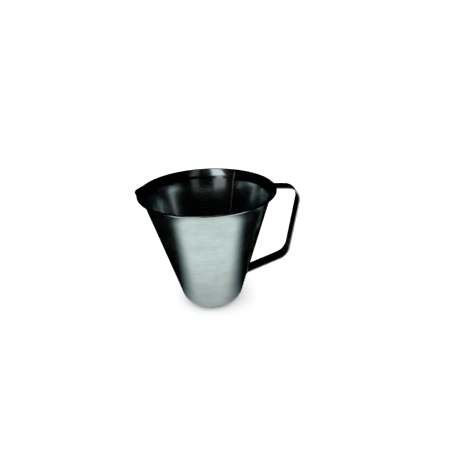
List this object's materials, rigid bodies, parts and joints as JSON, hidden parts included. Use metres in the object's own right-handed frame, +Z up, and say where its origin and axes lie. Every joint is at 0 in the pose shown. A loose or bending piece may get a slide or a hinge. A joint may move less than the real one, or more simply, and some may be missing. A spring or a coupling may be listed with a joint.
{
  "type": "conical measuring jug",
  "caption": "Conical stainless steel measuring jug with a flared wired rim, a small pour lip, a welded round-cornered bottom and a bent strap handle.",
  "frame": {"origin": "centre of the flat underside, on the axis of the cone", "axes": "+Z up along the cone's axis, +X towards the handle, the pour lip at 175.5 degrees round from the handle, the XZ plane is the plane of symmetry of everything but the lip, the side seam and the graduations"},
  "size_m": [0.1795, 0.15, 0.139],
  "materials": {
    "jug_steel": "satin outside, polished inside",
    "strap_steel": "polished, fine grain along the strap",
    "rim_wire": "drawn wire",
    "weld": "dressed weld"
  },
  "bodies": {
    "root": {"conical_wall": "jug_steel", "rim_wire": "rim_wire", "side_seam_weld": "weld", "base_pan": "jug_steel", "base_seam_weld": "weld", "handle_strap": "strap_steel", "upper_handle_weld": "weld", "lower_handle_weld": "weld"}
  },
  "joints": []
}
